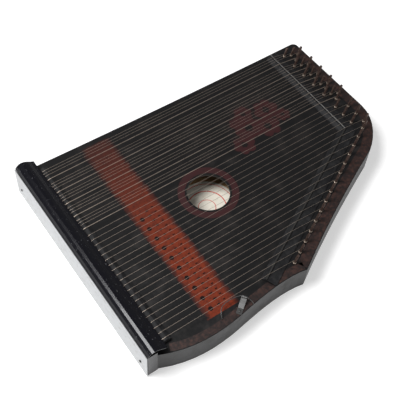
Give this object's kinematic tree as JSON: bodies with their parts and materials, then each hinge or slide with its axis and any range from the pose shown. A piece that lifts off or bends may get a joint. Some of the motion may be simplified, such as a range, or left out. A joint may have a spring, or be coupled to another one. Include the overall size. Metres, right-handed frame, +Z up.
{
  "type": "zither",
  "caption": "Flat wooden chord zither with a round sound hole, turning tuning pins, a metal tail cover and a sheet holder.",
  "frame": {"origin": "middle of the footprint at the underside", "axes": "+X along the strings from the tail cover to the tuning pins, +Y to the straight back edge, +Z up"},
  "size_m": [0.4952, 0.3516, 0.0598],
  "materials": {
    "black_lacquer": "worn black lacquer over wood, brown borders",
    "bare_wood": "bare, inside the box",
    "bridge_wood": "black lacquer, dusty",
    "japanned_steel": "glossy black japanning, worn at the rim",
    "nickel": "dulled nickel plate",
    "string_steel": "drawn wire",
    "pin_steel": "rusted steel"
  },
  "bodies": {
    "case": {"top_plate": "black_lacquer", "back_plate": "black_lacquer", "side_front": "black_lacquer", "side_right": "black_lacquer", "side_back": "black_lacquer", "tail_block": "bare_wood", "pin_block": "bare_wood", "soundboard_brace": "bare_wood", "tail_bridge": "bridge_wood", "pin_bridge": "bridge_wood", "pin_bridge_wire": "nickel", "strings": "string_steel", "tail_cover": "japanned_steel", "end_strip": "nickel", "end_strip_nail_upper": "nickel", "end_strip_nail_lower": "nickel", "sheet_holder_spring": "nickel", "sheet_holder_screw": "nickel"},
    "pin_chord_1_a": {"pin_chord_1_a": "pin_steel"},
    "pin_chord_1_b": {"pin_chord_1_b": "pin_steel"},
    "pin_chord_1_c": {"pin_chord_1_c": "pin_steel"},
    "pin_chord_1_bass": {"pin_chord_1_bass": "pin_steel"},
    "pin_chord_2_a": {"pin_chord_2_a": "pin_steel"},
    "pin_chord_2_b": {"pin_chord_2_b": "pin_steel"},
    "pin_chord_2_c": {"pin_chord_2_c": "pin_steel"},
    "pin_chord_2_bass": {"pin_chord_2_bass": "pin_steel"},
    "pin_chord_3_a": {"pin_chord_3_a": "pin_steel"},
    "pin_chord_3_b": {"pin_chord_3_b": "pin_steel"},
    "pin_chord_3_c": {"pin_chord_3_c": "pin_steel"},
    "pin_chord_3_bass": {"pin_chord_3_bass": "pin_steel"},
    "pin_chord_4_a": {"pin_chord_4_a": "pin_steel"},
    "pin_chord_4_b": {"pin_chord_4_b": "pin_steel"},
    "pin_chord_4_c": {"pin_chord_4_c": "pin_steel"},
    "pin_chord_4_bass": {"pin_chord_4_bass": "pin_steel"},
    "pin_chord_5_a": {"pin_chord_5_a": "pin_steel"},
    "pin_chord_5_b": {"pin_chord_5_b": "pin_steel"},
    "pin_chord_5_c": {"pin_chord_5_c": "pin_steel"},
    "pin_chord_5_bass": {"pin_chord_5_bass": "pin_steel"},
    "pin_melody_01": {"pin_melody_01": "pin_steel"},
    "pin_melody_02": {"pin_melody_02": "pin_steel"},
    "pin_melody_03": {"pin_melody_03": "pin_steel"},
    "pin_melody_04": {"pin_melody_04": "pin_steel"},
    "pin_melody_05": {"pin_melody_05": "pin_steel"},
    "pin_melody_06": {"pin_melody_06": "pin_steel"},
    "pin_melody_07": {"pin_melody_07": "pin_steel"},
    "pin_melody_08": {"pin_melody_08": "pin_steel"},
    "pin_melody_09": {"pin_melody_09": "pin_steel"},
    "pin_melody_10": {"pin_melody_10": "pin_steel"},
    "pin_melody_11": {"pin_melody_11": "pin_steel"},
    "pin_melody_12": {"pin_melody_12": "pin_steel"},
    "pin_melody_13": {"pin_melody_13": "pin_steel"},
    "pin_melody_14": {"pin_melody_14": "pin_steel"},
    "pin_melody_15": {"pin_melody_15": "pin_steel"},
    "pin_melody_16": {"pin_melody_16": "pin_steel"},
    "pin_melody_17": {"pin_melody_17": "pin_steel"},
    "pin_melody_18": {"pin_melody_18": "pin_steel"},
    "pin_melody_19": {"pin_melody_19": "pin_steel"},
    "pin_melody_20": {"pin_melody_20": "pin_steel"},
    "pin_melody_21": {"pin_melody_21": "pin_steel"},
    "sheet_holder_bow": {"sheet_holder_bow": "nickel"}
  },
  "joints": [
    {"name": "tune_chord_1_a", "type": "hinge", "parent": "case", "child": "pin_chord_1_a", "pos_m": [0.21006, 0.15248, 0.0403], "axis": [0.2419, 0, 0.9703], "range_deg": [-30, 1110]},
    {"name": "tune_chord_1_b", "type": "hinge", "parent": "case", "child": "pin_chord_1_b", "pos_m": [0.22014, 0.14788, 0.0403], "axis": [0.2419, 0, 0.9703], "range_deg": [-30, 1110]},
    {"name": "tune_chord_1_c", "type": "hinge", "parent": "case", "child": "pin_chord_1_c", "pos_m": [0.23022, 0.14328, 0.0403], "axis": [0.2419, 0, 0.9703], "range_deg": [-30, 1110]},
    {"name": "tune_chord_1_bass", "type": "hinge", "parent": "case", "child": "pin_chord_1_bass", "pos_m": [0.22034, 0.13563, 0.0403], "axis": [0.2419, 0, 0.9703], "range_deg": [-30, 1110]},
    {"name": "tune_chord_2_a", "type": "hinge", "parent": "case", "child": "pin_chord_2_a", "pos_m": [0.21048, 0.12728, 0.0403], "axis": [0.2419, 0, 0.9703], "range_deg": [-30, 1110]},
    {"name": "tune_chord_2_b", "type": "hinge", "parent": "case", "child": "pin_chord_2_b", "pos_m": [0.22056, 0.12268, 0.0403], "axis": [0.2419, 0, 0.9703], "range_deg": [-30, 1110]},
    {"name": "tune_chord_2_c", "type": "hinge", "parent": "case", "child": "pin_chord_2_c", "pos_m": [0.23063, 0.11808, 0.0403], "axis": [0.2419, 0, 0.9703], "range_deg": [-30, 1110]},
    {"name": "tune_chord_2_bass", "type": "hinge", "parent": "case", "child": "pin_chord_2_bass", "pos_m": [0.22075, 0.11043, 0.0403], "axis": [0.2419, 0, 0.9703], "range_deg": [-30, 1110]},
    {"name": "tune_chord_3_a", "type": "hinge", "parent": "case", "child": "pin_chord_3_a", "pos_m": [0.21086, 0.10418, 0.0403], "axis": [0.2419, 0, 0.9703], "range_deg": [-30, 1110]},
    {"name": "tune_chord_3_b", "type": "hinge", "parent": "case", "child": "pin_chord_3_b", "pos_m": [0.22094, 0.09958, 0.0403], "axis": [0.2419, 0, 0.9703], "range_deg": [-30, 1110]},
    {"name": "tune_chord_3_c", "type": "hinge", "parent": "case", "child": "pin_chord_3_c", "pos_m": [0.23101, 0.09498, 0.0403], "axis": [0.2419, 0, 0.9703], "range_deg": [-30, 1110]},
    {"name": "tune_chord_3_bass", "type": "hinge", "parent": "case", "child": "pin_chord_3_bass", "pos_m": [0.22113, 0.08733, 0.0403], "axis": [0.2419, 0, 0.9703], "range_deg": [-30, 1110]},
    {"name": "tune_chord_4_a", "type": "hinge", "parent": "case", "child": "pin_chord_4_a", "pos_m": [0.21125, 0.08078, 0.0403], "axis": [0.2419, 0, 0.9703], "range_deg": [-30, 1110]},
    {"name": "tune_chord_4_b", "type": "hinge", "parent": "case", "child": "pin_chord_4_b", "pos_m": [0.22132, 0.07618, 0.0403], "axis": [0.2419, 0, 0.9703], "range_deg": [-30, 1110]},
    {"name": "tune_chord_4_c", "type": "hinge", "parent": "case", "child": "pin_chord_4_c", "pos_m": [0.2314, 0.07158, 0.0403], "axis": [0.2419, 0, 0.9703], "range_deg": [-30, 1110]},
    {"name": "tune_chord_4_bass", "type": "hinge", "parent": "case", "child": "pin_chord_4_bass", "pos_m": [0.22152, 0.06393, 0.0403], "axis": [0.2419, 0, 0.9703], "range_deg": [-30, 1110]},
    {"name": "tune_chord_5_a", "type": "hinge", "parent": "case", "child": "pin_chord_5_a", "pos_m": [0.21164, 0.05668, 0.0403], "axis": [0.2419, 0, 0.9703], "range_deg": [-30, 1110]},
    {"name": "tune_chord_5_b", "type": "hinge", "parent": "case", "child": "pin_chord_5_b", "pos_m": [0.22172, 0.05208, 0.0403], "axis": [0.2419, 0, 0.9703], "range_deg": [-30, 1110]},
    {"name": "tune_chord_5_c", "type": "hinge", "parent": "case", "child": "pin_chord_5_c", "pos_m": [0.2318, 0.04748, 0.0403], "axis": [0.2419, 0, 0.9703], "range_deg": [-30, 1110]},
    {"name": "tune_chord_5_bass", "type": "hinge", "parent": "case", "child": "pin_chord_5_bass", "pos_m": [0.22192, 0.03983, 0.0403], "axis": [0.2419, 0, 0.9703], "range_deg": [-30, 1110]},
    {"name": "tune_melody_01", "type": "hinge", "parent": "case", "child": "pin_melody_01", "pos_m": [0.21062, 0.02798, 0.0403], "axis": [0.2419, 0, 0.9703], "range_deg": [-30, 1110]},
    {"name": "tune_melody_02", "type": "hinge", "parent": "case", "child": "pin_melody_02", "pos_m": [0.22776, 0.01909, 0.0403], "axis": [0.2419, 0, 0.9703], "range_deg": [-30, 1110]},
    {"name": "tune_melody_03", "type": "hinge", "parent": "case", "child": "pin_melody_03", "pos_m": [0.21091, 0.01019, 0.0403], "axis": [0.2419, 0, 0.9703], "range_deg": [-30, 1110]},
    {"name": "tune_melody_04", "type": "hinge", "parent": "case", "child": "pin_melody_04", "pos_m": [0.22806, 0.00129, 0.0403], "axis": [0.2419, 0, 0.9703], "range_deg": [-30, 1110]},
    {"name": "tune_melody_05", "type": "hinge", "parent": "case", "child": "pin_melody_05", "pos_m": [0.21121, -0.0076, 0.0403], "axis": [0.2419, 0, 0.9703], "range_deg": [-30, 1110]},
    {"name": "tune_melody_06", "type": "hinge", "parent": "case", "child": "pin_melody_06", "pos_m": [0.22821, -0.01649, 0.0403], "axis": [0.2419, 0, 0.9703], "range_deg": [-30, 1110]},
    {"name": "tune_melody_07", "type": "hinge", "parent": "case", "child": "pin_melody_07", "pos_m": [0.21811, -0.02539, 0.0403], "axis": [0.2419, 0, 0.9703], "range_deg": [-30, 1110]},
    {"name": "tune_melody_08", "type": "hinge", "parent": "case", "child": "pin_melody_08", "pos_m": [0.20187, -0.03429, 0.0403], "axis": [0.2419, 0, 0.9703], "range_deg": [-30, 1110]},
    {"name": "tune_melody_09", "type": "hinge", "parent": "case", "child": "pin_melody_09", "pos_m": [0.18562, -0.04318, 0.0403], "axis": [0.2419, 0, 0.9703], "range_deg": [-30, 1110]},
    {"name": "tune_melody_10", "type": "hinge", "parent": "case", "child": "pin_melody_10", "pos_m": [0.16938, -0.05208, 0.0403], "axis": [0.2419, 0, 0.9703], "range_deg": [-30, 1110]},
    {"name": "tune_melody_11", "type": "hinge", "parent": "case", "child": "pin_melody_11", "pos_m": [0.15313, -0.06097, 0.0403], "axis": [0.2419, 0, 0.9703], "range_deg": [-30, 1110]},
    {"name": "tune_melody_12", "type": "hinge", "parent": "case", "child": "pin_melody_12", "pos_m": [0.13689, -0.06986, 0.0403], "axis": [0.2419, 0, 0.9703], "range_deg": [-30, 1110]},
    {"name": "tune_melody_13", "type": "hinge", "parent": "case", "child": "pin_melody_13", "pos_m": [0.12064, -0.07876, 0.0403], "axis": [0.2419, 0, 0.9703], "range_deg": [-30, 1110]},
    {"name": "tune_melody_14", "type": "hinge", "parent": "case", "child": "pin_melody_14", "pos_m": [0.1044, -0.08765, 0.0403], "axis": [0.2419, 0, 0.9703], "range_deg": [-30, 1110]},
    {"name": "tune_melody_15", "type": "hinge", "parent": "case", "child": "pin_melody_15", "pos_m": [0.08815, -0.09655, 0.0403], "axis": [0.2419, 0, 0.9703], "range_deg": [-30, 1110]},
    {"name": "tune_melody_16", "type": "hinge", "parent": "case", "child": "pin_melody_16", "pos_m": [0.07191, -0.10544, 0.0403], "axis": [0.2419, 0, 0.9703], "range_deg": [-30, 1110]},
    {"name": "tune_melody_17", "type": "hinge", "parent": "case", "child": "pin_melody_17", "pos_m": [0.05566, -0.11434, 0.0403], "axis": [0.2419, 0, 0.9703], "range_deg": [-30, 1110]},
    {"name": "tune_melody_18", "type": "hinge", "parent": "case", "child": "pin_melody_18", "pos_m": [0.03942, -0.12323, 0.0403], "axis": [0.2419, 0, 0.9703], "range_deg": [-30, 1110]},
    {"name": "tune_melody_19", "type": "hinge", "parent": "case", "child": "pin_melody_19", "pos_m": [0.02317, -0.13213, 0.0403], "axis": [0.2419, 0, 0.9703], "range_deg": [-30, 1110]},
    {"name": "tune_melody_20", "type": "hinge", "parent": "case", "child": "pin_melody_20", "pos_m": [0.00693, -0.14103, 0.0403], "axis": [0.2419, 0, 0.9703], "range_deg": [-30, 1110]},
    {"name": "tune_melody_21", "type": "hinge", "parent": "case", "child": "pin_melody_21", "pos_m": [-0.00932, -0.14992, 0.0403], "axis": [0.2419, 0, 0.9703], "range_deg": [-30, 1110]},
    {"name": "bow_lift", "type": "hinge", "parent": "case", "child": "sheet_holder_bow", "pos_m": [-0.09652, -0.15637, 0.0477], "axis": [-0.58, 0.8146, 0], "range_deg": [0, 70]}
  ]
}
